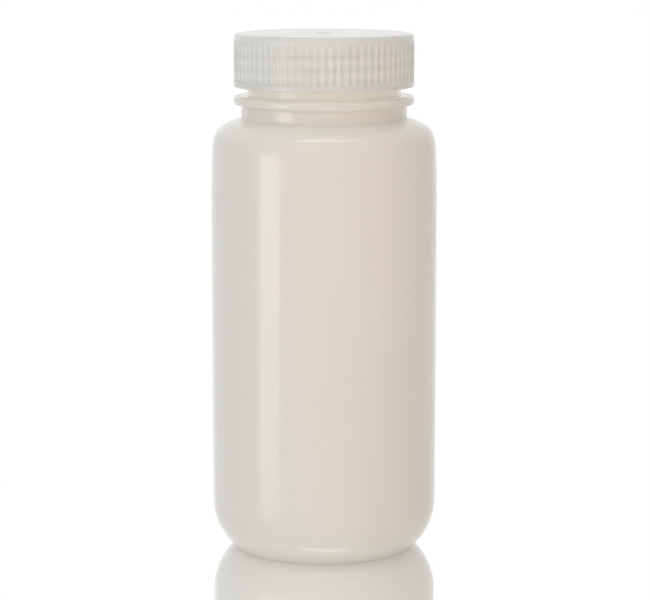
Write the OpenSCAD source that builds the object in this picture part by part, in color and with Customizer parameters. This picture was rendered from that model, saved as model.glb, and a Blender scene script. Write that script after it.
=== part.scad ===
// Wide-mouth laboratory reagent bottle with a lined, ribbed screw closure.
// All sizes are in millimetres.
// Z runs up the bottle's own axis; the foot stands on z = 0.

/* [Bottle body] */
// Outside diameter of the body
body_d = 73.6; // [66:0.2:90]
// Height of the whole thing, foot to the top of the closure
total_h = 169.2; // [130:0.2:230]
// Thickness of the blown wall
wall_t = 1.5; // [1:0.1:2]
// Radius of the big round above the foot
heel_r = 20.5; // [14:0.5:24]
// Diameter of the ring that the bottle stands on
foot_d = 58.8; // [52:0.2:60]
// Height of the recess under the base
push_up = 3; // [1.5:0.1:5]

/* [Neck finish] */
// Diameter over the crests of the neck thread
thread_d = 52.5; // [48:0.1:56]
// Height of the thread ridges off the neck
thread_depth = 1.35; // [0.9:0.05:1.5]
// Rise of the thread in one turn
pitch = 4.233; // [3.6:0.001:5]
// Number of turns of thread on the neck
neck_turns = 2.1; // [1.5:0.1:2.3]
// Thickness of the neck wall under the thread
neck_t = 2.1; // [1.6:0.1:2.6]
// Outside diameter of the bead under the closure
bead_d = 58.7; // [57:0.1:64]
// Height of the bead
bead_h = 3; // [2:0.1:4]
// Gap between the closure's lower edge and the bead
bead_gap = 3; // [1:0.1:4]

/* [Closure] */
// Outside diameter over the grip ribs
closure_d = 58.4; // [57.6:0.1:63]
// Height of the closure
closure_h = 17.1; // [17:0.1:22]
// Number of grip ribs
rib_n = 72; // [36:1:96]
// Height of a grip rib off the skirt
rib_h = 0.6; // [0.3:0.05:0.8]
// Thickness of the top plate
plate_t = 1.8; // [1.4:0.1:2.4]
// Room between the two threads, measured outwards
thread_room = 0.4; // [0.25:0.05:0.5]

/* [Liner] */
// Thickness of the sealing liner
liner_t = 1; // [0.6:0.1:1.4]

/* [Hidden] */
$fn = 96;
eps = 0.01;

// Heights, from the top down.
top_z = total_h;
plate_z = top_z - plate_t;
lip_z = plate_z - liner_t;
skirt_z = top_z - closure_h;
bead_top_z = skirt_z - bead_gap;
bead_low_z = bead_top_z - bead_h;
neck_low_z = bead_low_z - 3.8;

// Radii.
body_r = body_d / 2;
crest_r = thread_d / 2;
root_r = crest_r - thread_depth;
bore_r = root_r - neck_t;
bead_r = bead_d / 2;
neck_low_r = bead_r - 2.35;
in_r = body_r - wall_t;
skirt_in_r = crest_r + thread_room;
nut_r = root_r + thread_room;
rib_r = closure_d / 2;
rib_root_r = rib_r - rib_h;
liner_r = nut_r + 0.5;

// The round above the foot, from the wall down to the foot ring.
foot_r = foot_d / 2;
heel_cx = body_r - heel_r;
heel_end = acos((foot_r - heel_cx) / heel_r);
heel_cz = heel_r * sin(heel_end);

// The threads: one start, right-handed, both at the same pitch.
turn_steps = 48;
neck_thread_z = lip_z - 4 - neck_turns * pitch;
neck_foot_w = 2.4;
neck_crest_w = 1;
nut_foot_w = 2.1;
nut_crest_w = 0.8;
nut_turns = neck_turns - 0.1;
// How far each ridge's foot is sunk into its wall.
foot_sink = 0.6;
// The closure's ridge bears up against the neck's with this much left between.
flank_gap = 0.18;
nut_drop = (neck_foot_w + nut_crest_w) / 2 + flank_gap;
// How far round its own ridge starts, so that its foot stays above the collar's lower edge.
nut_half = nut_crest_w / 2 + (nut_foot_w - nut_crest_w) / 2 * (1 + foot_sink / thread_depth);
nut_start = max(0.4, (skirt_z + 0.3 + nut_half - neck_thread_z + nut_drop) / pitch);

// Points on an arc about [cx, cz] from angle a to angle b in n steps.
function arc(cx, cz, r, a, b, n) =
    [for (i = [0 : n]) let (t = a + (b - a) * i / n) [cx + r * cos(t), cz + r * sin(t)]];

// The same list of points without its last.
function but_last(p) = [for (i = [0 : len(p) - 2]) p[i]];

// Outside of the bottle from the foot ring to the lip.
function bottle_outside() = concat(
    [[0, push_up], [foot_r - 12, push_up], [foot_r - 4.5, 0.5], [foot_r - 3, 0]],
    [[foot_r - 0.3, 0]],
    arc(heel_cx, heel_cz, heel_r, -heel_end + 1, 0, 9),
    [[body_r, neck_low_z - 21], [body_r - 0.35, neck_low_z - 11.5]],
    [[body_r - 0.6, neck_low_z - 8.4], [body_r - 1, neck_low_z - 6.6]],
    [[body_r - 1.7, neck_low_z - 5], [body_r - 2.7, neck_low_z - 3.8]],
    [[body_r - 4.4, neck_low_z - 2.5], [body_r - 6.3, neck_low_z - 1.7]],
    [[neck_low_r + 1.4, neck_low_z - 0.9], [neck_low_r + 0.4, neck_low_z - 0.2]],
    [[neck_low_r - 0.2, neck_low_z + 0.8], [neck_low_r - 0.1, bead_low_z - 0.3]],
    [[neck_low_r + 0.3, bead_low_z], [bead_r - 0.4, bead_low_z + 0.3]],
    [[bead_r, bead_low_z + 0.8], [bead_r, bead_top_z - 1]],
    [[bead_r - 0.35, bead_top_z - 0.3], [bead_r - 1, bead_top_z], [root_r + 0.5, bead_top_z]],
    [[root_r, bead_top_z + 0.5], [root_r, lip_z - 0.7], [root_r - 0.5, lip_z]]
);

// Inside of the bottle from the lip down to the middle of the floor.
function bottle_inside() = concat(
    [[bore_r + 0.4, lip_z], [bore_r, lip_z - 0.5], [bore_r, neck_low_z + 0.4]],
    [[bore_r + 0.5, neck_low_z - 1.2], [bore_r + 1.9, neck_low_z - 2.4]],
    [[in_r - 6.6, neck_low_z - 3.4], [in_r - 4.2, neck_low_z - 4.3]],
    [[in_r - 2.3, neck_low_z - 5.6], [in_r - 1.2, neck_low_z - 7.2]],
    [[in_r - 0.5, neck_low_z - 9.6], [in_r, neck_low_z - 21]],
    arc(heel_cx, heel_cz, heel_r - wall_t, 0, -heel_end + 4, 7),
    [[foot_r - 3.4, wall_t + 0.5], [foot_r - 12, push_up + wall_t], [0, push_up + wall_t]]
);

// A run of thread as one solid. Its section is a trapezium on the wall at r_wall, standing
// out to r_crest, or in to it when r_crest is the smaller. It sinks away at both ends.
module thread_run(r_wall, r_crest, foot_w, crest_w, turns) {
    steps = round(turns * turn_steps);
    outward = r_crest > r_wall;
    sink = outward ? -foot_sink : foot_sink;
    r_foot = r_wall + sink;
    fade = 8;
    flare = (foot_w - crest_w) / 2 / abs(r_crest - r_wall);
    half_foot = crest_w / 2 + flare * abs(r_crest - r_foot);
    pts = [for (i = [0 : steps])
        let (k = min(1, (i + 1.7) / fade, (steps - i + 1.7) / fade))
        let (a = 360 * i / turn_steps, z = pitch * i / turn_steps)
        let (r = r_foot + (r_crest - r_foot) * k)
        let (half = crest_w / 2 + flare * abs(r_crest - r))
        each [
            [r_foot * cos(a), r_foot * sin(a), z - half_foot],
            [r * cos(a), r * sin(a), z - half],
            [r * cos(a), r * sin(a), z + half],
            [r_foot * cos(a), r_foot * sin(a), z + half_foot]
        ]];
    sides = [for (i = [0 : steps - 1], j = [0 : 3])
        let (p = 4 * i + j, q = 4 * i + (j + 1) % 4)
        each outward ? [[p, q, q + 4], [p, q + 4, p + 4]] : [[p, q + 4, q], [p, p + 4, q + 4]]];
    last = 4 * steps;
    ends = outward
        ? [[3, 2, 1, 0], [last, last + 1, last + 2, last + 3]]
        : [[0, 1, 2, 3], [last + 3, last + 2, last + 1, last]];
    polyhedron(points = pts, faces = concat(sides, ends), convexity = 6);
}

// The blown bottle: base, wall, shoulder, bead, neck and its thread.
module bottle() {
    color([0.93, 0.92, 0.88]) {
        union() {
            rotate_extrude()
                polygon(concat(bottle_outside(), bottle_inside()));
            translate([0, 0, neck_thread_z])
                thread_run(root_r, crest_r, neck_foot_w, neck_crest_w, neck_turns);
        }
    }
}

// The foamed disc that seals on the lip; it is held above the closure's thread.
module sealing_liner() {
    color([0.97, 0.97, 0.96])
        rotate_extrude()
            polygon([
                [0, lip_z], [liner_r - 0.15, lip_z], [liner_r, lip_z + 0.15],
                [liner_r, plate_z - 0.15], [liner_r - 0.15, plate_z], [0, plate_z]
            ]);
}

// Outline of the ribbed skirt seen from above.
function rib_outline() = [for (i = [0 : rib_n - 1]) let (w = 360 / rib_n, a = w * i)
    each [
        [rib_root_r * cos(a - 0.34 * w), rib_root_r * sin(a - 0.34 * w)],
        [rib_r * cos(a - 0.14 * w), rib_r * sin(a - 0.14 * w)],
        [rib_r * cos(a + 0.14 * w), rib_r * sin(a + 0.14 * w)],
        [rib_root_r * cos(a + 0.34 * w), rib_root_r * sin(a + 0.34 * w)]
    ]];

// The plain shell of the closure: collar, skirt and top plate with its rounded edge.
module closure_shell() {
    rotate_extrude()
        polygon(concat(
            [[skirt_in_r + 0.4, skirt_z], [rib_r - 0.3, skirt_z], [rib_r + 0.15, skirt_z + 0.45]],
            [[rib_r + 0.15, skirt_z + 1.5], [rib_r - 0.1, skirt_z + 1.8]],
            [[rib_root_r + 0.05, skirt_z + 1.9], [rib_root_r + 0.05, top_z - 2.3]],
            arc(rib_r - 1.85, top_z - 1.75, 1.75, 0, 90, 6),
            [[2.6, top_z], [2.4, top_z - 0.35], [0.9, top_z - 0.35], [0.7, top_z - 0.1]],
            [[0, top_z - 0.1], [0, plate_z], [skirt_in_r - 0.3, plate_z]],
            [[skirt_in_r, plate_z - 0.3], [skirt_in_r, skirt_z + 0.5]]
        ));
}

// The moulded closure with its grip ribs and its inside thread.
module closure() {
    color([0.86, 0.87, 0.86]) {
        union() {
            closure_shell();
            difference() {
                translate([0, 0, skirt_z + 1.2])
                    linear_extrude(closure_h - 3)
                        polygon(rib_outline());
                translate([0, 0, skirt_z])
                    cylinder(r = skirt_in_r + 0.6, h = closure_h);
            }
            translate([0, 0, neck_thread_z - nut_drop + nut_start * pitch])
                rotate([0, 0, 360 * nut_start])
                    thread_run(skirt_in_r, nut_r, nut_foot_w, nut_crest_w, nut_turns);
        }
    }
}

bottle();
sealing_liner();
closure();
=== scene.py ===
import logging
import math
from dataclasses import dataclass, field
from enum import Enum
from typing import Any, Sequence, Union

import bmesh
import bpy
from mathutils import Euler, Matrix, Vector


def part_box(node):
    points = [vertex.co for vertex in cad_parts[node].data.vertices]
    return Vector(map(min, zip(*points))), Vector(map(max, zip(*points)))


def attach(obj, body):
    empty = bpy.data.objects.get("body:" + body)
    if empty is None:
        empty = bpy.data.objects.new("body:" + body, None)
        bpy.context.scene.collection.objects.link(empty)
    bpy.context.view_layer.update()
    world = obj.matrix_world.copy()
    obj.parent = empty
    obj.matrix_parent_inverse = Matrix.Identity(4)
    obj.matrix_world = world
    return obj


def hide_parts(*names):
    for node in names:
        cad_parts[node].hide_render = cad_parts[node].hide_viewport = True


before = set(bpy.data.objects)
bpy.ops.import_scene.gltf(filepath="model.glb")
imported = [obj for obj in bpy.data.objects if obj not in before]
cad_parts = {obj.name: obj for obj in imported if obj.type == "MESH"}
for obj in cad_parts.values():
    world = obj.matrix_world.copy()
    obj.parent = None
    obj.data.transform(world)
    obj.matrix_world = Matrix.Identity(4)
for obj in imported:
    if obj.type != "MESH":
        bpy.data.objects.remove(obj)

LOG = logging.getLogger("reagent_bottle")
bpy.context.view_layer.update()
MM = 0.001
TURN = 2.0 * math.pi
# Points nearer than this are one: in metres on a mesh, in millimetres on an outline.
MERGE_M = 2e-6
MERGE_OUTLINE_MM = 0.01
# More than half of any side, so a corner is rounded as far as its sides allow.
FULLY_SOFT_MM = 99.0

Number = Union[float, int]
Colour = tuple[float, float, float]
BLACK: Colour = (0.0, 0.0, 0.0)
WHITE: Colour = (1.0, 1.0, 1.0)


# ---------------------------------------------------------------- node graphs


class MathOp(Enum):
    """The Math node operations that the expressions below use."""

    ADD = "ADD"
    SUBTRACT = "SUBTRACT"
    MULTIPLY = "MULTIPLY"
    DIVIDE = "DIVIDE"
    COSINE = "COSINE"
    SINE = "SINE"
    ARCTAN2 = "ARCTAN2"
    MINIMUM = "MINIMUM"
    MAXIMUM = "MAXIMUM"
    ABSOLUTE = "ABSOLUTE"
    FRACT = "FRACT"
    ROUND = "ROUND"
    SQRT = "SQRT"


class Signal:
    """One number socket of a node graph, with Python's operators adding Math nodes."""

    def __init__(self, graph: "Graph", socket: bpy.types.NodeSocket) -> None:
        """Wraps a socket.

        Args:
            graph: The graph that the socket belongs to.
            socket: The output socket that carries the value.
        """
        self.graph = graph
        self.socket = socket

    def _with(self, op: MathOp, *values: Any) -> "Signal":
        """The result of one Math node over these values."""
        inputs = dict(enumerate(values))
        return self.graph.signal("ShaderNodeMath", {"operation": op.value}, inputs)

    def __add__(self, other: Any) -> "Signal":
        """Sum."""
        return self._with(MathOp.ADD, self, other)

    def __radd__(self, other: Any) -> "Signal":
        """Sum with a plain number first."""
        return self._with(MathOp.ADD, other, self)

    def __sub__(self, other: Any) -> "Signal":
        """Difference."""
        return self._with(MathOp.SUBTRACT, self, other)

    def __rsub__(self, other: Any) -> "Signal":
        """Difference from a plain number."""
        return self._with(MathOp.SUBTRACT, other, self)

    def __mul__(self, other: Any) -> "Signal":
        """Product."""
        return self._with(MathOp.MULTIPLY, self, other)

    def __rmul__(self, other: Any) -> "Signal":
        """Product with a plain number first."""
        return self._with(MathOp.MULTIPLY, other, self)

    def __truediv__(self, other: Any) -> "Signal":
        """Quotient."""
        return self._with(MathOp.DIVIDE, self, other)

    def cos(self) -> "Signal":
        """Cosine."""
        return self._with(MathOp.COSINE, self)

    def sin(self) -> "Signal":
        """Sine."""
        return self._with(MathOp.SINE, self)

    def abs(self) -> "Signal":
        """Absolute value."""
        return self._with(MathOp.ABSOLUTE, self)

    def fract(self) -> "Signal":
        """Fraction part."""
        return self._with(MathOp.FRACT, self)

    def round(self) -> "Signal":
        """Nearest whole number."""
        return self._with(MathOp.ROUND, self)

    def sqrt(self) -> "Signal":
        """Square root."""
        return self._with(MathOp.SQRT, self)

    def least(self, other: Any) -> "Signal":
        """The smaller of the two."""
        return self._with(MathOp.MINIMUM, self, other)

    def most(self, other: Any) -> "Signal":
        """The larger of the two."""
        return self._with(MathOp.MAXIMUM, self, other)

    def angle_from(self, x: "Signal") -> "Signal":
        """The angle of the point (x, self) round the origin, in radians."""
        return self._with(MathOp.ARCTAN2, self, x)

    def ramp(self, low: Any, high: Any) -> "Signal":
        """A smooth step.

        Args:
            low: Where the result is 0.
            high: Where the result is 1; it may be lower than `low`.

        Returns:
            The eased value between 0 and 1.
        """
        settings = {"interpolation_type": "SMOOTHSTEP"}
        inputs = {"Value": self, "From Min": low, "From Max": high}
        return self.graph.signal("ShaderNodeMapRange", settings, inputs)


@dataclass
class Graph:
    """A node tree under construction."""

    tree: bpy.types.NodeTree

    def node(
        self,
        kind: str,
        settings: dict[str, Any] | None = None,
        inputs: dict[Any, Any] | None = None,
    ) -> bpy.types.Node:
        """Adds one node.

        Args:
            kind: The node's type name.
            settings: Properties that are set before any socket.
            inputs: Socket name or number to a plain value, a socket or a Signal.

        Returns:
            The new node.
        """
        made = self.tree.nodes.new(kind)
        for name, value in (settings or {}).items():
            setattr(made, name, value)
        for key, value in (inputs or {}).items():
            if isinstance(value, Signal):
                value = value.socket
            if isinstance(value, bpy.types.NodeSocket):
                self.tree.links.new(value, made.inputs[key])
            else:
                made.inputs[key].default_value = value
        return made

    def signal(
        self,
        kind: str,
        settings: dict[str, Any] | None = None,
        inputs: dict[Any, Any] | None = None,
        output: Any = 0,
    ) -> Signal:
        """Adds one node and wraps one of its outputs.

        Args:
            kind: The node's type name.
            settings: Properties that are set before any socket.
            inputs: Socket name or number to a value, a socket or a Signal.
            output: Name or number of the output that is wanted.

        Returns:
            That output as a Signal.
        """
        return Signal(self, self.node(kind, settings, inputs).outputs[output])


def opaque(colour: Colour) -> tuple[float, float, float, float]:
    """The colour with the fourth number that a socket wants."""
    return (*colour, 1.0)


# ------------------------------------------------------------ geometry graphs


@dataclass(frozen=True)
class Corner:
    """One corner of a turned outline, in millimetres.

    `soft` is how far along its two sides the corner is rounded, and `rib` is how much
    of the grip ribs' height stands on the outline there.
    """

    r: float
    z: float
    soft: float = FULLY_SOFT_MM
    rib: float = 0.0


def rounded(corners: Sequence[Corner], steps: int = 6) -> list[Corner]:
    """Rounds the corners of an outline.

    Args:
        corners: The outline's corners in order; the first and last stay as they are.
        steps: Points along each rounded corner.

    Returns:
        The finer outline.
    """
    out = [corners[0]]
    for before, here, after in zip(corners, corners[1:], corners[2:]):
        ends = []
        for other in (before, after):
            length = math.hypot(other.r - here.r, other.z - here.z)
            share = min(0.5, here.soft / length)
            ends.append(tuple(
                a + (b - a) * share
                for a, b in ((here.r, other.r), (here.z, other.z), (here.rib, other.rib))
            ))
        middle = (here.r, here.z, here.rib)
        for i in range(steps + 1):
            t = i / steps
            weights = ((1 - t) ** 2, 2 * t * (1 - t), t * t)
            r, z, rib = (
                sum(w * p[k] for w, p in zip(weights, (ends[0], middle, ends[1])))
                for k in range(3)
            )
            out.append(Corner(r, z, 0.0, rib))
    out.append(corners[-1])
    slim = [out[0]]
    for point in out[1:]:
        if math.hypot(point.r - slim[-1].r, point.z - slim[-1].z) > MERGE_OUTLINE_MM:
            slim.append(point)
    return slim


def arc(
    centre: tuple[float, float], radius: float, start: float, end: float, steps: int
) -> list[Corner]:
    """Corners along a circular arc.

    Args:
        centre: The arc's centre as radius and height, in millimetres.
        radius: Its radius in millimetres.
        start: Start angle in degrees.
        end: End angle in degrees.
        steps: How many parts it is cut into.

    Returns:
        The corners from start to end.
    """
    angles = [math.radians(start + (end - start) * i / steps) for i in range(steps + 1)]
    r, z = centre
    return [Corner(r + radius * math.cos(a), z + radius * math.sin(a)) for a in angles]


def line_mesh(name: str, points: Sequence[Corner]) -> bpy.types.Object:
    """A chain of edges that carries an outline into a node tree.

    Args:
        name: The object's name.
        points: The outline, in millimetres.

    Returns:
        An object in the scene whose points carry a `rib` attribute.
    """
    mesh = bpy.data.meshes.new(name)
    places = [(p.r * MM, 0.0, p.z * MM) for p in points]
    mesh.from_pydata(places, [(i, i + 1) for i in range(len(points) - 1)], [])
    ribs = mesh.attributes.new("rib", "FLOAT", "POINT")
    ribs.data.foreach_set("value", [p.rib for p in points])
    made = bpy.data.objects.new(name, mesh)
    bpy.context.scene.collection.objects.link(made)
    return made


class GeometryRecipe:
    """A geometry node tree that turns an outline into a solid, with named inputs."""

    def __init__(self, name: str, numbers: dict[str, Number], material: bpy.types.Material) -> None:
        """Starts the tree and its interface.

        Args:
            name: The tree's name.
            numbers: Input name to the value it is given.
            material: What the finished surface is made of.
        """
        self.numbers = numbers
        self.material = material
        tree = bpy.data.node_groups.new(name, "GeometryNodeTree")
        self.graph = Graph(tree)
        face = tree.interface
        face.new_socket(name="Outline", in_out="INPUT", socket_type="NodeSocketGeometry")
        face.new_socket(name="Solid", in_out="OUTPUT", socket_type="NodeSocketGeometry")
        for label, value in numbers.items():
            kind = "NodeSocketInt" if isinstance(value, int) else "NodeSocketFloat"
            face.new_socket(name=label, in_out="INPUT", socket_type=kind)
        self.given = self.graph.node("NodeGroupInput")
        self.outline = self.given.outputs["Outline"]

    def number(self, name: str) -> Signal:
        """The named input as a Signal."""
        return Signal(self.graph, self.given.outputs[name])

    def sheet(self, columns: Any) -> tuple[bpy.types.NodeSocket, Signal, Signal, Signal, Signal]:
        """A flat grid with one row of points for each point of the outline.

        Args:
            columns: How many times the outline is repeated.

        Returns:
            The grid, each point's share of the way along the repeats, and the outline's
            radius, height and rib weight there.
        """
        g = self.graph
        count = g.signal(
            "GeometryNodeAttributeDomainSize", None, {"Geometry": self.outline}, "Point Count"
        )
        sizes = {"Size X": 1.0, "Size Y": 1.0, "Vertices X": count, "Vertices Y": columns}
        grid = g.node("GeometryNodeMeshGrid", None, sizes).outputs["Mesh"]
        place = g.node("GeometryNodeInputPosition").outputs[0]
        flat = g.node("ShaderNodeSeparateXYZ", None, {0: place})
        index = ((Signal(g, flat.outputs["X"]) + 0.5) * (count - 1)).round()
        along = Signal(g, flat.outputs["Y"]) + 0.5
        source = g.node("GeometryNodeInputPosition").outputs[0]
        point = g.node(
            "GeometryNodeSampleIndex",
            {"data_type": "FLOAT_VECTOR"},
            {"Geometry": self.outline, "Value": source, "Index": index},
        ).outputs["Value"]
        named = g.node("GeometryNodeInputNamedAttribute", {"data_type": "FLOAT"}, {"Name": "rib"})
        rib = g.signal(
            "GeometryNodeSampleIndex",
            {"data_type": "FLOAT"},
            {"Geometry": self.outline, "Value": named.outputs["Attribute"], "Index": index},
            "Value",
        )
        parts = g.node("ShaderNodeSeparateXYZ", None, {0: point})
        return grid, along, Signal(g, parts.outputs["X"]), Signal(g, parts.outputs["Z"]), rib

    def close(
        self, grid: bpy.types.NodeSocket, radius: Signal, angle: Signal, height: Signal
    ) -> None:
        """Bends the grid round the axis, joins its edges and ends the tree.

        Args:
            grid: The flat grid.
            radius: Each point's distance from the axis.
            angle: Its angle round the axis.
            height: Its height.
        """
        g = self.graph
        place = g.node(
            "ShaderNodeCombineXYZ",
            None,
            {"X": radius * angle.cos(), "Y": radius * angle.sin(), "Z": height},
        )
        solid = grid
        for kind, inputs in (
            ("GeometryNodeSetPosition", {"Position": place.outputs[0]}),
            ("GeometryNodeMergeByDistance", {"Distance": MERGE_M}),
            ("GeometryNodeSetShadeSmooth", {}),
            ("GeometryNodeRealizeInstances", {}),
            ("GeometryNodeSetMaterial", {"Material": self.material}),
        ):
            solid = g.node(kind, None, {"Geometry": solid, **inputs}).outputs[0]
        g.node("NodeGroupOutput", None, {"Solid": solid})

    def apply(self, name: str, points: Sequence[Corner]) -> bpy.types.Object:
        """Runs the tree on an outline and keeps the result as a plain mesh.

        Args:
            name: The finished piece's name.
            points: The outline.

        Returns:
            The finished piece, closed and facing outwards.
        """
        source = line_mesh(name + "_outline", points)
        modifier = source.modifiers.new(self.graph.tree.name, "NODES")
        modifier.node_group = self.graph.tree
        for item in self.graph.tree.interface.items_tree:
            if item.in_out == "INPUT" and item.name in self.numbers:
                modifier[item.identifier] = self.numbers[item.name]
        bpy.context.view_layer.update()
        evaluated = source.evaluated_get(bpy.context.evaluated_depsgraph_get())
        mesh = bpy.data.meshes.new_from_object(evaluated)
        source.modifiers.remove(modifier)
        bpy.data.objects.remove(source)
        mesh.name = name
        for layer in [a.name for a in mesh.attributes if a.name == "rib"]:
            mesh.attributes.remove(mesh.attributes[layer])
        return finished_piece(name, mesh, self.material)


def finished_piece(
    name: str, mesh: bpy.types.Mesh, material: bpy.types.Material
) -> bpy.types.Object:
    """Links a mesh as a piece, with its faces outwards and its material on.

    Args:
        name: The piece's name.
        mesh: Its mesh, in place.
        material: Its material.

    Returns:
        The object, at the origin.
    """
    work = bmesh.new()
    work.from_mesh(mesh)
    bmesh.ops.remove_doubles(work, verts=work.verts, dist=MERGE_M)
    bmesh.ops.dissolve_degenerate(work, edges=work.edges, dist=MERGE_M)
    bmesh.ops.recalc_face_normals(work, faces=work.faces)
    loose = sum(1 for edge in work.edges if len(edge.link_faces) != 2)
    work.to_mesh(mesh)
    work.free()
    mesh.materials.clear()
    mesh.materials.append(material)
    mesh.polygons.foreach_set("use_smooth", [True] * len(mesh.polygons))
    made = bpy.data.objects.new(name, mesh)
    bpy.context.scene.collection.objects.link(made)
    LOG.info("%s: %d faces, %d open edges", name, len(mesh.polygons), loose)
    return made


def turned_solid(
    name: str,
    points: Sequence[Corner],
    material: bpy.types.Material,
    segments: int,
    ribs: int = 1,
    rib_height: float = 0.0,
) -> bpy.types.Object:
    """A piece turned about the bottle's axis, with grip ribs where the outline asks.

    Args:
        name: The piece's name.
        points: Its outline, from the axis round to the axis.
        material: Its material.
        segments: How many parts the turn is cut into.
        ribs: How many grip ribs stand round it.
        rib_height: Their height in millimetres.

    Returns:
        The finished piece.
    """
    crest_share, foot_share = 0.15, 0.33
    numbers: dict[str, Number] = {
        "Segments": segments,
        "Rib count": ribs,
        "Rib height": rib_height * MM,
        "Rib crest": crest_share,
        "Rib foot": foot_share,
    }
    recipe = GeometryRecipe(name + "_turning", numbers, material)
    grid, along, radius, height, weight = recipe.sheet(recipe.number("Segments") + 1)
    half_rib = 0.5
    off_crest = ((along * recipe.number("Rib count") + half_rib).fract() - half_rib).abs()
    rib = off_crest.ramp(recipe.number("Rib foot"), recipe.number("Rib crest"))
    radius = radius + weight * rib * recipe.number("Rib height")
    recipe.close(grid, radius, along * TURN, height)
    return recipe.apply(name, points)


@dataclass(frozen=True)
class ThreadRun:
    """A run of screw thread: where it starts, how it climbs and how it stands out."""

    wall_r: float
    crest_r: float
    foot_w: float
    crest_w: float
    start_z: float
    start_turn: float
    turns: float
    pitch: float
    sink: float = 0.6
    soft: float = 0.35
    fade_turns: float = 0.14
    steps_per_turn: int = 96

    def section(self) -> list[Corner]:
        """The closed section of the ridge, from its foot inside the wall.

        Returns:
            The section's corners, rounded, from its foot round to its foot.
        """
        out = 1.0 if self.crest_r > self.wall_r else -1.0
        deep = abs(self.crest_r - self.wall_r)
        flare = (self.foot_w - self.crest_w) / 2 / deep
        tall = self.sink + deep
        foot = self.crest_w / 2 + flare * tall
        crest = self.crest_w / 2
        joint = -foot + self.sink / 2
        loop = [
            Corner(0.0, joint, 0.0),
            Corner(0.0, -foot, 0.0),
            Corner(out * tall, -crest, self.soft),
            Corner(out * tall, crest, self.soft),
            Corner(0.0, foot, 0.0),
            Corner(0.0, joint, 0.0),
        ]
        return rounded(loop, 4)

    def build(self, name: str, material: bpy.types.Material) -> bpy.types.Object:
        """Makes the thread.

        Args:
            name: The piece's name.
            material: Its material.

        Returns:
            The finished ridge, sunk into its wall.
        """
        inward = self.sink if self.crest_r > self.wall_r else -self.sink
        numbers: dict[str, Number] = {
            "Steps": int(self.turns * self.steps_per_turn),
            "Turns": self.turns,
            "Start turn": self.start_turn,
            "Lead": self.pitch * MM,
            "Foot radius": (self.wall_r - inward) * MM,
            "Start height": self.start_z * MM,
            "Fade": self.fade_turns / self.turns,
        }
        recipe = GeometryRecipe(name + "_sweep", numbers, material)
        grid, along, out, rise, _ = recipe.sheet(recipe.number("Steps") + 1)
        from_end = along.least(1.0 - along)
        lead_in = -0.02 * from_end
        size = from_end.ramp(lead_in, recipe.number("Fade"))
        radius = recipe.number("Foot radius") + out * size
        climbed = recipe.number("Turns") * along
        height = recipe.number("Start height") + recipe.number("Lead") * climbed + rise * size
        angle = (climbed + recipe.number("Start turn")) * TURN
        recipe.close(grid, radius, angle, height)
        return recipe.apply(name, self.section())


# ------------------------------------------------------------------- finishes


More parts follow.
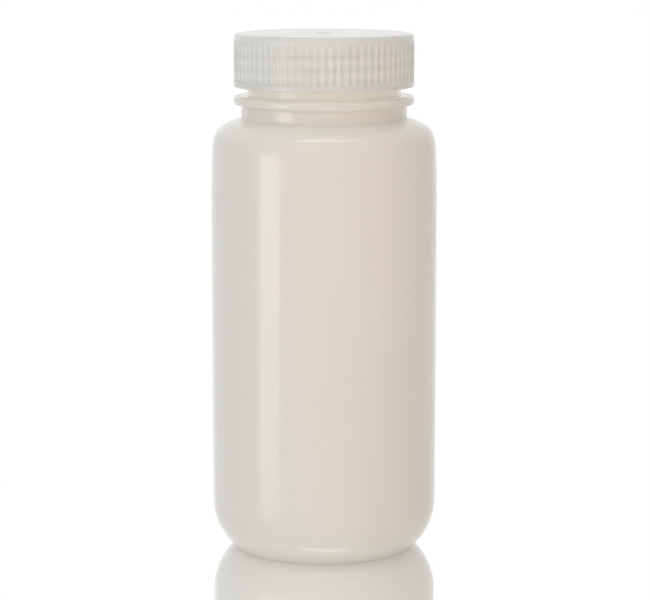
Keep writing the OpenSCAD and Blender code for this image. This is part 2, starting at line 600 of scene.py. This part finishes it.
@dataclass(frozen=True)
class Plastic:
    """What every moulded plastic here has: its look in constants and how it is dressed."""

    name: str
    tone: Colour
    shade: Colour
    roughness: float
    ior: float
    scatter: float
    scatter_mm: float
    scatter_reach: Colour = (1.0, 0.85, 0.62)
    grain_roughness: float = 0.55
    # Strength of the painted glow, and the share of it that the whole surface gets.
    glow_most: float = 0.30
    glow_share: float = 0.33

    def start(self) -> tuple[bpy.types.Material, Graph, bpy.types.Node, Signal, Signal, Signal]:
        """Opens the material.

        Returns:
            The material, its graph, its shader, and the piece's own x, y and z in metres.
        """
        material = bpy.data.materials.new(self.name)
        material.use_nodes = True
        material.node_tree.nodes.clear()
        graph = Graph(material.node_tree)
        shader = graph.node("ShaderNodeBsdfPrincipled", None, {
            "IOR": self.ior,
            "Subsurface Weight": self.scatter,
            "Subsurface Radius": self.scatter_reach,
            "Subsurface Scale": self.scatter_mm * MM,
        })
        graph.node("ShaderNodeOutputMaterial", None, {"Surface": shader.outputs[0]})
        own = graph.node("ShaderNodeTexCoord").outputs["Object"]
        parts = graph.node("ShaderNodeSeparateXYZ", None, {0: own})
        x, y, z = (Signal(graph, parts.outputs[i]) for i in range(3))
        return material, graph, shader, x, y, z

    def noise(self, graph: Graph, place: Any, scale: float, detail: float = 3.0) -> Signal:
        """Soft random variation.

        Args:
            graph: The material's graph.
            place: The coordinates it is read at.
            scale: Lumps in a metre.
            detail: How many finer layers are added.

        Returns:
            A value round one half.
        """
        inputs = {
            "Vector": place, "Scale": scale, "Detail": detail, "Roughness": self.grain_roughness
        }
        return graph.signal("ShaderNodeTexNoise", {"noise_dimensions": "3D"}, inputs)

    def stretched(
        self, graph: Graph, x: Signal, y: Signal, z: Signal, lift: float
    ) -> bpy.types.NodeSocket:
        """Coordinates drawn out along the bottle's axis, for streaks.

        Args:
            graph: The material's graph.
            x: Own x.
            y: Own y.
            z: Own z.
            lift: What z is multiplied by; small draws the pattern out upwards.

        Returns:
            The coordinates.
        """
        return graph.node("ShaderNodeCombineXYZ", None, {"X": x, "Y": y, "Z": z * lift}).outputs[0]

    def mixed(self, graph: Graph, share: Any, first: Any, second: Any) -> bpy.types.NodeSocket:
        """Two colours mixed.

        Args:
            graph: The material's graph.
            share: 0 for the first, 1 for the second; a plain number or a Signal.
            first: A colour or a socket.
            second: A colour or a socket.

        Returns:
            The mixed colour.
        """
        def ready(value: Any) -> Any:
            """A plain colour with its fourth number, and anything else as it is."""
            return opaque(value) if isinstance(value, tuple) else value

        inputs = {0: share, 6: ready(first), 7: ready(second)}
        return graph.node("ShaderNodeMix", {"data_type": "RGBA"}, inputs).outputs[2]

    def glow(
        self, graph: Graph, shader: bpy.types.Node, colour: bpy.types.NodeSocket, share: Any
    ) -> None:
        """Painted glow: emission that lifts the surface a little, like light through a milky wall.

        Args:
            graph: The material's graph.
            shader: The shader that gets it.
            colour: The surface's colour socket.
            share: How much of the strongest glow it gets, 0 to 1.
        """
        lit = self.mixed(graph, share, BLACK, colour)
        graph.tree.links.new(lit, shader.inputs["Emission Color"])
        shader.inputs["Emission Strength"].default_value = self.glow_most

    def bumped(self, graph: Graph, shader: bpy.types.Node, height: Signal, deep_mm: float) -> None:
        """Puts a fine relief on the shader.

        Args:
            graph: The material's graph.
            shader: The shader that gets it.
            height: The relief, 0 to 1.
            deep_mm: How deep 1 is, in millimetres.
        """
        inputs = {"Height": height, "Distance": deep_mm * MM, "Strength": 1.0}
        relief = graph.node("ShaderNodeBump", None, inputs)
        graph.tree.links.new(relief.outputs[0], shader.inputs["Normal"])


@dataclass(frozen=True)
class NaturalPolyethylene(Plastic):
    """The blown bottle's milky wall."""

    name: str = "natural_polyethylene"
    tone: Colour = (0.825, 0.78, 0.722)
    shade: Colour = (0.755, 0.745, 0.665)
    roughness: float = 0.18
    ior: float = 1.49
    scatter: float = 0.3
    scatter_mm: float = 2.5
    cloud_scale: float = 14.0
    streak_scale: float = 260.0
    streak_lift: float = 0.05
    skin_scale: float = 1100.0
    thick_neck: float = 0.45
    thick_foot: float = 0.35
    cloud_tone: float = 0.5
    streak_tone: float = 0.22
    cloud_gloss: float = 0.08
    streak_gloss: float = 0.05
    skin_relief: float = 0.12
    streak_relief: float = 0.25
    seam_relief: float = 0.8
    relief_mm: float = 0.06
    seam_half_mm: float = 0.16
    gap_painted_glow: float = 0.4

    def build(self, neck_z: float, body_r: float, neck_r: float) -> bpy.types.Material:
        """Makes the finish.

        Args:
            neck_z: Height in metres where the neck starts, above which the wall is thick.
            body_r: The body's radius in metres, for the moulding seam.
            neck_r: The neck's radius in metres between its threads.

        Returns:
            The material.
        """
        material, graph, shader, x, y, z = self.start()
        place = self.stretched(graph, x, y, z, 1.0)
        drawn = self.stretched(graph, x, y, z, self.streak_lift)
        clouds = self.noise(graph, place, self.cloud_scale)
        streaks = self.noise(graph, drawn, self.streak_scale, 2.0)
        thick = z.ramp(neck_z - 12 * MM, neck_z + 6 * MM) * self.thick_neck
        thick = thick + z.ramp(20 * MM, 0.0) * self.thick_foot
        share = thick + (clouds - 0.5) * self.cloud_tone + (streaks - 0.5) * self.streak_tone
        colour = self.mixed(graph, share.ramp(0.0, 1.0), self.tone, self.shade)
        graph.tree.links.new(colour, shader.inputs["Base Color"])
        # Painted light: more glow on the neck in the gap under the closure, lifting the shade
        # there, on top of the painted glow that the whole wall gets.
        ring = (x * x + y * y).sqrt().ramp(neck_r + 3.2 * MM, neck_r + 0.6 * MM)
        gap = z.ramp(neck_z + 4.5 * MM, neck_z + 6.8 * MM)
        gap = gap * z.ramp(neck_z + 11.5 * MM, neck_z + 9.5 * MM)
        self.glow(graph, shader, colour, self.glow_share + ring * gap * self.gap_painted_glow)
        gloss = self.roughness + (clouds - 0.5) * self.cloud_gloss
        gloss = gloss + (streaks - 0.5) * self.streak_gloss
        graph.tree.links.new(gloss.socket, shader.inputs["Roughness"])
        skin = self.noise(graph, place, self.skin_scale, 2.0)
        half = self.seam_half_mm * MM
        seam = y.abs().ramp(half, 0.0) * x.abs().ramp(body_r * 0.3, body_r * 0.4)
        relief = skin * self.skin_relief + streaks * self.streak_relief + seam * self.seam_relief
        self.bumped(graph, shader, relief, self.relief_mm)
        return material


@dataclass(frozen=True)
class FrostedPolypropylene(Plastic):
    """The closure's frosted plastic, with its own thread dimly seen through the skirt."""

    name: str = "frosted_polypropylene"
    tone: Colour = (0.795, 0.78, 0.74)
    shade: Colour = (0.60, 0.59, 0.55)
    roughness: float = 0.20
    ior: float = 1.49
    scatter: float = 0.3
    scatter_mm: float = 2.0
    cloud_scale: float = 40.0
    flow_scale: float = 300.0
    flow_lift: float = 0.1
    frost_scale: float = 2400.0
    band_tone: float = 0.26
    # The next four are painted shade: in the rib grooves, on the skirt, on the top plate and on the
    # collar.
    groove_shade_tone: float = 0.03
    skirt_shade_tone: float = 0.10
    plate_shade_tone: float = 0.44
    collar_shade_tone: float = 0.3
    cloud_tone: float = 0.14
    flow_tone: float = 0.34
    cloud_gloss: float = 0.1
    frost_relief: float = 0.5
    flow_relief: float = 0.3
    relief_mm: float = 0.03

    def build(
        self, thread: ThreadRun, root_r: float, rib_h: float, top_z: float, collar_z: float
    ) -> bpy.types.Material:
        """Makes the finish.

        Args:
            thread: The run of thread inside the skirt.
            root_r: Radius in metres between the grip ribs.
            rib_h: Their height in metres.
            top_z: Height in metres of the closure's top.
            collar_z: Height in metres of the collar's upper edge.

        Returns:
            The material.
        """
        material, graph, shader, x, y, z = self.start()
        place = self.stretched(graph, x, y, z, 1.0)
        drawn = self.stretched(graph, x, y, z, self.flow_lift)
        clouds = self.noise(graph, place, self.cloud_scale)
        flow = self.noise(graph, drawn, self.flow_scale, 2.0)
        turn = y.angle_from(x) / TURN
        climb = (z - thread.start_z * MM) / (thread.pitch * MM)
        ridge = ((climb - turn) * TURN).cos() * 0.5 + 0.5
        low = thread.start_z * MM
        high = (thread.start_z + thread.turns * thread.pitch) * MM
        inside = z.ramp(low - MM, low + MM) * z.ramp(high + 4 * MM, high + MM)
        out = (x * x + y * y).sqrt()
        side = out.ramp(root_r - 1.2 * MM, root_r - 0.4 * MM)
        bands = (1.0 - ridge) * inside * side
        # Painted shade in the grooves between the grip ribs, below the top rim.
        groove = out.ramp(root_r + rib_h * 0.8, root_r + rib_h * 0.1) * side
        # Painted shade on the skirt below the top rim.
        below = z.ramp(top_z - 1.2 * MM, top_z - 3.2 * MM)
        # Painted shade on the top plate, darkening it where the light from above falls brightest.
        plate = z.ramp(top_z - 1.2 * MM, top_z - 0.2 * MM)
        # Painted shade on the collar, to match the shaded ribs above it.
        collar = z.ramp(collar_z + 0.3 * MM, collar_z - 0.2 * MM) * side
        share = bands * self.band_tone + groove * self.groove_shade_tone * below
        share = share + below * side * self.skirt_shade_tone + collar * self.collar_shade_tone
        share = share + plate * self.plate_shade_tone + (clouds - 0.5) * self.cloud_tone
        share = (share + (flow - 0.5) * self.flow_tone).ramp(0.0, 1.0)
        colour = self.mixed(graph, share, self.tone, self.shade)
        graph.tree.links.new(colour, shader.inputs["Base Color"])
        # Painted glow over the whole closure, standing in for light through the frosted wall.
        self.glow(graph, shader, colour, self.glow_share)
        gloss = self.roughness + (clouds - 0.5) * self.cloud_gloss
        graph.tree.links.new(gloss.socket, shader.inputs["Roughness"])
        frost = self.noise(graph, place, self.frost_scale, 2.0)
        relief = frost * self.frost_relief + flow * self.flow_relief
        self.bumped(graph, shader, relief, self.relief_mm)
        return material


@dataclass(frozen=True)
class FoamedPolyethylene(Plastic):
    """The sealing liner's white closed-cell foam."""

    name: str = "foamed_liner"
    tone: Colour = (0.86, 0.86, 0.84)
    shade: Colour = (0.74, 0.74, 0.72)
    roughness: float = 0.6
    ior: float = 1.45
    scatter: float = 0.0
    scatter_mm: float = 1.0
    cell_scale: float = 2600.0
    cloud_scale: float = 120.0
    wall_tone: float = 0.35
    cloud_tone: float = 0.3
    wall_gloss: float = 0.15
    relief_mm: float = 0.05

    def build(self) -> bpy.types.Material:
        """Makes the finish.

        Returns:
            The material.
        """
        material, graph, shader, x, y, z = self.start()
        place = self.stretched(graph, x, y, z, 1.0)
        cells = graph.signal(
            "ShaderNodeTexVoronoi",
            {"feature": "DISTANCE_TO_EDGE"},
            {"Vector": place, "Scale": self.cell_scale},
        )
        walls = cells.ramp(0.25, 0.0)
        clouds = self.noise(graph, place, self.cloud_scale)
        share = (walls * self.wall_tone + (clouds - 0.5) * self.cloud_tone).ramp(0.0, 1.0)
        colour = self.mixed(graph, share, self.tone, self.shade)
        graph.tree.links.new(colour, shader.inputs["Base Color"])
        # Painted glow over the whole liner.
        self.glow(graph, shader, colour, self.glow_share)
        gloss = self.roughness + walls * self.wall_gloss
        graph.tree.links.new(gloss.socket, shader.inputs["Roughness"])
        self.bumped(graph, shader, 1.0 - walls, self.relief_mm)
        return material


# --------------------------------------------------------------- sub-assemblies


def add_piece(
    obj: bpy.types.Object, body: str, slot: str, nodes: Sequence[str] = ()
) -> bpy.types.Object:
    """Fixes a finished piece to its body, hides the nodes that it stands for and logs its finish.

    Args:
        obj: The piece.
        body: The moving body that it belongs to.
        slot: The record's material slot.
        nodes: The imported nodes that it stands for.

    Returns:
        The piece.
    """
    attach(obj, body)
    if nodes:
        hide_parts(*nodes)
    LOG.info("%s rides on %s, finish %s", obj.name, body, slot)
    return obj


def node_sizes(node: str) -> tuple[float, float, float]:
    """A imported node's radius, lowest and highest height, in millimetres."""
    low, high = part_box(node)
    return max(high[0], high[1]) / MM, low[2] / MM, high[2] / MM


@dataclass
class NeckFinish:
    """Sizes in millimetres that the bottle's neck and the closure share."""

    crest_r: float = 26.25
    thread_depth: float = 1.35
    pitch: float = 4.233
    neck_turns: float = 2.1
    lip_clear: float = 4.0
    foot_w: float = 2.4
    crest_w: float = 1.0
    nut_foot_w: float = 2.1
    nut_crest_w: float = 0.8
    thread_room: float = 0.4
    flank_gap: float = 0.18
    foot_sink: float = 0.6
    lip_z: float = field(default_factory=lambda: node_sizes("bottle")[2])

    @property
    def root_r(self) -> float:
        """Radius between the neck's thread ridges."""
        return self.crest_r - self.thread_depth

    @property
    def start_z(self) -> float:
        """Height at which the neck's thread starts."""
        return self.lip_z - self.lip_clear - self.neck_turns * self.pitch

    def neck_thread(self) -> ThreadRun:
        """The ridge on the bottle's neck.

        Returns:
            The run of thread.
        """
        return ThreadRun(
            wall_r=self.root_r,
            crest_r=self.crest_r,
            foot_w=self.foot_w,
            crest_w=self.crest_w,
            start_z=self.start_z,
            start_turn=0.0,
            turns=self.neck_turns,
            pitch=self.pitch,
        )

    def closure_thread(self, skirt_low_z: float) -> ThreadRun:
        """The ridge inside the closure, drawn up under the neck's.

        Args:
            skirt_low_z: Height of the closure's lower edge, above which it starts.

        Returns:
            The run of thread.
        """
        least_turn, above_edge, shorter = 0.4, 0.3, 0.1
        base = self.start_z - (self.foot_w + self.nut_crest_w) / 2 - self.flank_gap
        flare = (self.nut_foot_w - self.nut_crest_w) / 2
        half = self.nut_crest_w / 2 + flare * (1 + self.foot_sink / self.thread_depth)
        start_turn = max(least_turn, (skirt_low_z + above_edge + half - base) / self.pitch)
        return ThreadRun(
            wall_r=self.crest_r + self.thread_room,
            crest_r=self.root_r + self.thread_room,
            foot_w=self.nut_foot_w,
            crest_w=self.nut_crest_w,
            start_z=base + start_turn * self.pitch,
            start_turn=start_turn,
            turns=self.neck_turns - shorter,
            pitch=self.pitch,
        )


@dataclass
class Bottle:
    """The blown bottle: base, wall, shoulder, bead and threaded neck."""

    neck: NeckFinish
    skirt_low_z: float
    wall_t: float = 1.5
    neck_t: float = 2.1
    heel_r: float = 20.5
    foot_r: float = 29.4
    push_up: float = 3.0
    bead_r: float = 29.35
    bead_out: float = 2.35
    bead_h: float = 3.0
    bead_gap: float = 3.0
    neck_rise: float = 3.8
    weld_half: float = 15.0
    weld_h: float = 0.35
    weld_w: float = 0.9
    segments: int = 224
    body_r: float = field(default_factory=lambda: node_sizes("bottle")[0])
    slot: str = "natural_polyethylene"

    @property
    def neck_z(self) -> float:
        """Height at which the shoulder meets the neck."""
        return self.skirt_low_z - self.bead_gap - self.bead_h - self.neck_rise

    @property
    def heel(self) -> tuple[tuple[float, float], float]:
        """Centre of the round above the foot, and how far down it turns, in degrees.

        Returns:
            The centre as radius and height in millimetres, and the angle.
        """
        centre_r = self.body_r - self.heel_r
        end = math.degrees(math.acos((self.foot_r - centre_r) / self.heel_r))
        return (centre_r, self.heel_r * math.sin(math.radians(end))), end

    def outside(self) -> list[Corner]:
        """The outline from the middle of the base up to the lip.

        Returns:
            The outline's corners.
        """
        wall, neck = self.body_r, self.neck_z
        bead_top = self.skirt_low_z - self.bead_gap
        bead_low = bead_top - self.bead_h
        low_r = self.bead_r - self.bead_out
        root = self.neck.root_r
        lip = self.neck.lip_z
        centre, end = self.heel
        base = [
            Corner(0.0, self.push_up),
            Corner(self.foot_r - 12.5, self.push_up, 3.0),
            Corner(self.foot_r - 4.4, 0.5, 1.5),
            Corner(self.foot_r - 3.0, 0.0, 0.6),
            Corner(self.foot_r - 0.2, 0.0, 0.6),
        ]
        shoulder = [
            Corner(wall, neck - 24.0, 6.0),
            Corner(wall - 0.3, neck - 12.5),
            Corner(wall - 0.55, neck - 8.6),
            Corner(wall - 1.0, neck - 6.4),
            Corner(wall - 1.75, neck - 4.8),
            Corner(wall - 2.8, neck - 3.65),
            Corner(wall - 4.5, neck - 2.5),
            Corner(wall - 6.6, neck - 1.6),
            Corner(low_r - 0.1, neck - 0.6, 0.7),
            Corner(low_r - 0.05, bead_low - 0.1, 0.6),
        ]
        bead = [
            Corner(self.bead_r - 0.1, bead_low + 0.35, 0.7),
            Corner(self.bead_r, bead_top - 0.25, 1.0),
            Corner(self.bead_r - 1.2, bead_top, 0.5),
            Corner(root, bead_top + 0.05, 0.7),
        ]
        lip_run = [
            Corner(root, lip, 0.6),
            Corner(root - self.neck_t, lip, 0.5),
        ]
        heel = arc(centre, self.heel_r, -end + 2.0, 0.0, 12)
        return base + heel + shoulder + bead + lip_run

    def inside(self) -> list[Corner]:
        """The outline from the lip down to the middle of the floor.

        Returns:
            The outline's corners.
        """
        wall, neck = self.body_r - self.wall_t, self.neck_z
        bore = self.neck.root_r - self.neck_t
        centre, end = self.heel
        neck_run = [
            Corner(bore, neck + 0.2, 2.0),
            Corner(bore + 2.0, neck - 2.4, 2.0),
            Corner(wall - 5.6, neck - 3.6),
            Corner(wall - 2.6, neck - 5.3),
            Corner(wall - 0.9, neck - 8.0),
            Corner(wall, neck - 20.0),
        ]
        floor = [
            Corner(self.foot_r - 3.4, self.wall_t + 0.5, 1.0),
            Corner(self.foot_r - 12.0, self.push_up + self.wall_t, 3.0),
            Corner(0.0, self.push_up + self.wall_t),
        ]
        heel = arc(centre, self.heel_r - self.wall_t, 0.0, -end + 4.0, 9)
        return neck_run + heel + floor

    def weld_ridge(self, material: bpy.types.Material) -> bpy.types.Object:
        """The low ridge across the base where the mould pinched the tube shut.

        Args:
            material: The bottle's material.

        Returns:
            The ridge, sunk into the base.
        """
        stations, around, sink = 25, 10, 0.1
        work = bmesh.new()
        rings = []
        for i in range(stations):
            x = -self.weld_half + 2 * self.weld_half * i / (stations - 1)
            ease = math.sqrt(max(0.0, 1 - (x / self.weld_half) ** 4)) + 0.02
            ring = []
            for k in range(around):
                a = TURN * k / around
                y = self.weld_w * 0.5 * ease * math.cos(a)
                z = self.push_up + sink - (sink + self.weld_h) * ease * math.sin(a)
                ring.append(work.verts.new((x * MM, y * MM, z * MM)))
            rings.append(ring)
        for one, two in zip(rings, rings[1:]):
            for k in range(around):
                after = (k + 1) % around
                work.faces.new((one[k], one[after], two[after], two[k]))
        work.faces.new(rings[0])
        work.faces.new(list(reversed(rings[-1])))
        mesh = bpy.data.meshes.new("base_weld_ridge")
        work.to_mesh(mesh)
        work.free()
        return finished_piece("base_weld_ridge", mesh, material)

    def build(self) -> None:
        """Makes and dresses the bottle's pieces."""
        finish = NaturalPolyethylene()
        material = finish.build(self.neck_z * MM, self.body_r * MM, self.neck.root_r * MM)
        outline = rounded(self.outside() + self.inside())
        wall = turned_solid("bottle_wall", outline, material, self.segments)
        add_piece(wall, "bottle", self.slot, ["bottle"])
        thread = self.neck.neck_thread().build("neck_thread", material)
        add_piece(thread, "bottle", self.slot)
        add_piece(self.weld_ridge(material), "bottle", self.slot)


@dataclass
class Closure:
    """The ribbed screw closure with its inside thread."""

    neck: NeckFinish
    plate_t: float = 1.8
    rib_h: float = 0.5
    rib_n: int = 72
    collar_h: float = 1.8
    collar_out: float = 0.15
    steps_per_rib: int = 10
    sizes: tuple[float, float, float] = field(default_factory=lambda: node_sizes("closure"))
    slot: str = "frosted_polypropylene"

    @property
    def low_z(self) -> float:
        """Height of the skirt's lower edge."""
        return self.sizes[1]

    @property
    def root_r(self) -> float:
        """Radius between the grip ribs."""
        return self.sizes[0] - self.collar_out - self.rib_h

    def outline(self) -> list[Corner]:
        """The outline from the middle of the top, down the outside and back inside.

        Returns:
            The outline's corners.
        """
        collar, low, top = self.sizes
        root = self.root_r
        crest = root + self.rib_h
        inner = self.neck.crest_r + self.neck.thread_room
        plate = top - self.plate_t
        edge = low + self.collar_h
        return [
            Corner(0.0, top - 0.12),
            Corner(0.75, top - 0.12, 0.2),
            Corner(0.95, top - 0.38, 0.15),
            Corner(2.3, top - 0.38, 0.15),
            Corner(2.6, top, 0.25),
            Corner(crest - 0.2, top, 1.35),
            Corner(crest - 0.05, top - 2.0, 0.3),
            Corner(root + 0.3, top - 2.6, 0.5, 0.4),
            Corner(root, top - 4.2, 0.8, 1.0),
            Corner(root, edge + 0.45, 0.2, 1.0),
            Corner(root + 0.1, edge + 0.15, 0.15, 0.4),
            Corner(collar - 0.05, edge, 0.15),
            Corner(collar, edge - 0.25, 0.2),
            Corner(collar, low, 0.5),
            Corner(inner + 0.3, low, 0.3),
            Corner(inner, low + 0.6, 0.4),
            Corner(inner, plate, 0.3),
            Corner(0.0, plate),
        ]

    def build(self) -> None:
        """Makes and dresses the closure's pieces."""
        run = self.neck.closure_thread(self.low_z)
        finish = FrostedPolypropylene()
        top = self.sizes[2] * MM
        collar_z = (self.low_z + self.collar_h) * MM
        material = finish.build(run, self.root_r * MM, self.rib_h * MM, top, collar_z)
        segments = self.rib_n * self.steps_per_rib
        outline = rounded(self.outline(), 4)
        shell = turned_solid("closure_shell", outline, material, segments, self.rib_n, self.rib_h)
        add_piece(shell, "closure", self.slot, ["closure"])
        add_piece(run.build("closure_thread", material), "closure", self.slot)


@dataclass
class Liner:
    """The foamed disc that seals on the lip."""

    edge: float = 0.15
    segments: int = 160
    sizes: tuple[float, float, float] = field(default_factory=lambda: node_sizes("sealing_liner"))
    slot: str = "foamed_liner"

    def build(self) -> None:
        """Makes and dresses the liner."""
        out, low, high = self.sizes
        corners = [
            Corner(0.0, low),
            Corner(out, low, self.edge),
            Corner(out, high, self.edge),
            Corner(0.0, high),
        ]
        material = FoamedPolyethylene().build()
        disc = turned_solid("liner_disc", rounded(corners, 4), material, self.segments)
        add_piece(disc, "liner", self.slot, ["sealing_liner"])


# ---------------------------------------------------------------------- studio


@dataclass(frozen=True)
class SoftBox:
    """An area light that faces the bottle's axis; angles in degrees, lengths in metres.

    The bearing runs from -Y towards -X. A highlight box shows as a reflection and nothing
    else; any other lights the surface softly and shows no reflection.
    """

    name: str
    bearing: float
    elevation: float
    aim_z: float
    distance: float
    width: float
    height: float
    radiance: float
    colour: Colour
    highlight: bool

    def build(self) -> None:
        """Sets the light up."""
        data = bpy.data.lights.new(self.name, "AREA")
        data.shape = "RECTANGLE"
        data.size = self.width
        data.size_y = self.height
        data.color = self.colour
        data.energy = self.radiance * math.pi * self.width * self.height
        lamp = bpy.data.objects.new(self.name, data)
        bearing, elevation = math.radians(self.bearing), math.radians(self.elevation)
        away = self.distance * math.cos(elevation)
        lamp.location = (
            -away * math.sin(bearing),
            -away * math.cos(bearing),
            self.aim_z + self.distance * math.sin(elevation),
        )
        lamp.rotation_euler = Euler((math.radians(90) - elevation, 0.0, -bearing), "XYZ")
        lamp.visible_camera = False
        lamp.visible_diffuse = not self.highlight
        lamp.visible_glossy = self.highlight
        bpy.context.scene.collection.objects.link(lamp)


@dataclass
class Studio:
    """The white surroundings, glossy floor, lights and camera."""

    white: float = 1.0
    ambient: float = 0.03
    darkest: float = 0.04
    from_front: float = 0.97
    from_back: float = 0.20
    from_left: float = 0.18
    overhead: float = 1.8
    sky_tint: Colour = (0.93, 0.985, 1.0)
    cool_side: Colour = (0.96, 0.985, 1.0)
    warm_side: Colour = (1.0, 0.80, 0.53)
    floor_half: float = 4.0
    floor_z: float = -0.00005
    floor_roughness: float = 0.03
    mirror: float = 0.87
    sensor_mm: float = 36.0
    far: float = 50.0
    lens_mm: float = 136.67
    eye: tuple[float, float, float] = (0.0003, -0.801, 0.2125)
    tilt: float = 9.269

    def boxes(self) -> list[SoftBox]:
        """Two boxes that show as highlights, and a card that warms the right of the front.

        Returns:
            The three lights.
        """
        return [
            SoftBox(
                "key_box", bearing=56.0, elevation=0.0, aim_z=0.09, distance=0.75, width=0.30,
                height=0.18, radiance=3.0, colour=(1.0, 0.985, 0.965), highlight=True,
            ),
            SoftBox(
                "top_box", bearing=-3.0, elevation=66.0, aim_z=0.13, distance=0.80, width=0.55,
                height=0.14, radiance=5.0, colour=(0.98, 0.99, 1.0), highlight=True,
            ),
            SoftBox(
                "warm_card", bearing=-26.0, elevation=0.0, aim_z=0.115, distance=0.15, width=0.09,
                height=0.07, radiance=0.75, colour=(1.0, 0.50, 0.25), highlight=False,
            ),
        ]

    def surroundings(self) -> None:
        """A white world to look at, and a graded one to be lit by."""
        world = bpy.data.worlds.new("studio_white")
        world.use_nodes = True
        world.node_tree.nodes.clear()
        graph = Graph(world.node_tree)
        way = graph.node("ShaderNodeTexCoord").outputs["Generated"]
        parts = graph.node("ShaderNodeSeparateXYZ", None, {0: way})
        right, back, up = (Signal(graph, parts.outputs[i]) for i in range(3))
        sky = up.most(0.0)
        sky = sky * sky * sky * sky
        level = self.ambient + (0.0 - back).most(0.0) * self.from_front
        level = level + back.most(0.0) * self.from_back - right * self.from_left
        level = (level + sky * sky * self.overhead).most(self.darkest)
        sides = {
            0: right.ramp(-0.05, 0.5),
            6: opaque(self.cool_side),
            7: opaque(self.warm_side),
        }
        tint = graph.node("ShaderNodeMix", {"data_type": "RGBA"}, sides).outputs[2]
        above = {0: up.ramp(0.25, 0.8), 6: tint, 7: opaque(self.sky_tint)}
        tint = graph.node("ShaderNodeMix", {"data_type": "RGBA"}, above).outputs[2]
        soft = graph.node("ShaderNodeBackground", None, {"Color": tint, "Strength": level})
        plain = graph.node(
            "ShaderNodeBackground", None, {"Color": opaque(WHITE), "Strength": self.white}
        )
        depth = graph.signal("ShaderNodeLightPath", None, None, "Diffuse Depth")
        both = {0: depth.least(1.0), 1: plain.outputs[0], 2: soft.outputs[0]}
        mixed = graph.node("ShaderNodeMixShader", None, both)
        graph.node("ShaderNodeOutputWorld", None, {"Surface": mixed.outputs[0]})
        # A light sample doesn't know which of the two worlds it stands for, so none is taken.
        world.cycles.sampling_method = "NONE"
        bpy.context.scene.world = world

    def floor(self) -> None:
        """A wide glossy white floor."""
        material = bpy.data.materials.new("glossy_white_floor")
        material.use_nodes = True
        material.node_tree.nodes.clear()
        graph = Graph(material.node_tree)
        white = {"Color": opaque(WHITE)}
        glow = graph.node("ShaderNodeEmission", None, {**white, "Strength": self.white})
        gloss = graph.node(
            "ShaderNodeBsdfGlossy", None, {**white, "Roughness": self.floor_roughness}
        )
        both = {0: self.mirror, 1: glow.outputs[0], 2: gloss.outputs[0]}
        mixed = graph.node("ShaderNodeMixShader", None, both)
        graph.node("ShaderNodeOutputMaterial", None, {"Surface": mixed.outputs[0]})
        mesh = bpy.data.meshes.new("floor")
        half = self.floor_half
        corners = [(-half, -half), (half, -half), (half, half), (-half, half)]
        mesh.from_pydata([(x, y, self.floor_z) for x, y in corners], [], [(0, 1, 2, 3)])
        mesh.materials.append(material)
        ground = bpy.data.objects.new("floor", mesh)
        bpy.context.scene.collection.objects.link(ground)

    def camera(self) -> None:
        """A long lens a little above the closure, tilted down."""
        data = bpy.data.cameras.new("camera")
        data.lens = self.lens_mm
        data.sensor_width = self.sensor_mm
        data.clip_end = self.far
        eye = bpy.data.objects.new("camera", data)
        eye.location = Vector(self.eye)
        eye.rotation_euler = Euler((math.radians(90.0 - self.tilt), 0.0, 0.0), "XYZ")
        bpy.context.scene.collection.objects.link(eye)
        bpy.context.scene.camera = eye

    def build(self) -> None:
        """Sets the whole studio up."""
        self.surroundings()
        self.floor()
        for box in self.boxes():
            box.build()
        self.camera()
        bpy.context.scene.view_settings.view_transform = "Standard"
        LOG.info("studio ready with %d lights", len(self.boxes()))


def main() -> None:
    """Builds the studio and every sub-assembly."""
    logging.basicConfig(level=logging.INFO, format="%(name)s: %(message)s")
    Studio().build()
    neck = NeckFinish()
    closure = Closure(neck)
    Bottle(neck, closure.low_z).build()
    Liner().build()
    closure.build()


if __name__ == "__main__":
    main()
